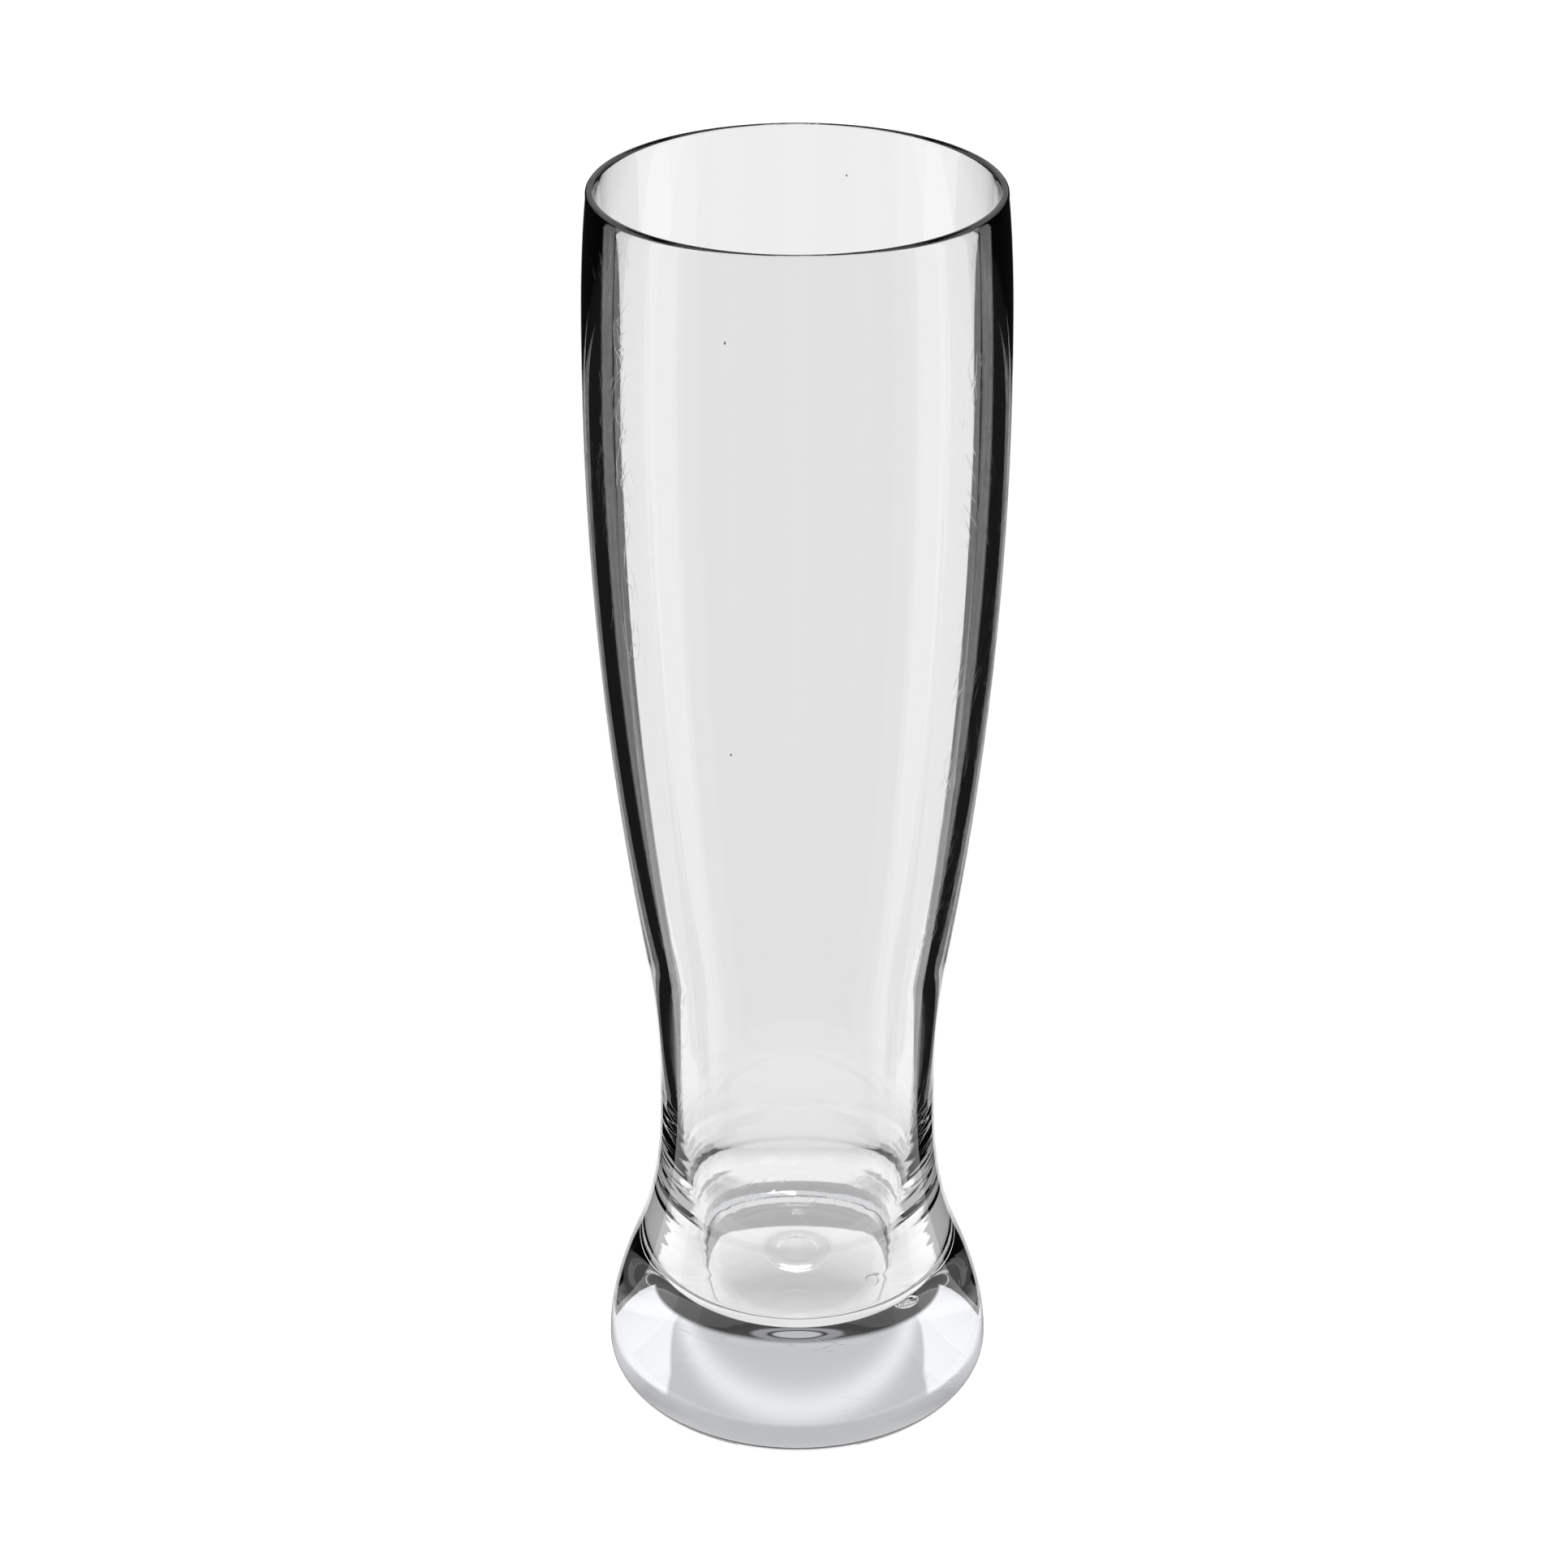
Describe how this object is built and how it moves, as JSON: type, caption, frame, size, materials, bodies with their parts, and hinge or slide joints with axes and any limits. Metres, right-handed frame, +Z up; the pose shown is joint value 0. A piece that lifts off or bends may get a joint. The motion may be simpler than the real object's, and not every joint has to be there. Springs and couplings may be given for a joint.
{
  "type": "weizen beer glass",
  "caption": "Tall clear drinking glass for wheat beer, with a slim flared bowl, a narrow waist and a thick solid foot.",
  "frame": {"origin": "centre of the flat resting face under the foot", "axes": "+Z up along the axis of revolution, from the foot to the rim"},
  "size_m": [0.0768, 0.0768, 0.245],
  "materials": {
    "clear_plastic": "clear, polished"
  },
  "bodies": {
    "root": {"glass": "clear_plastic"}
  },
  "joints": []
}
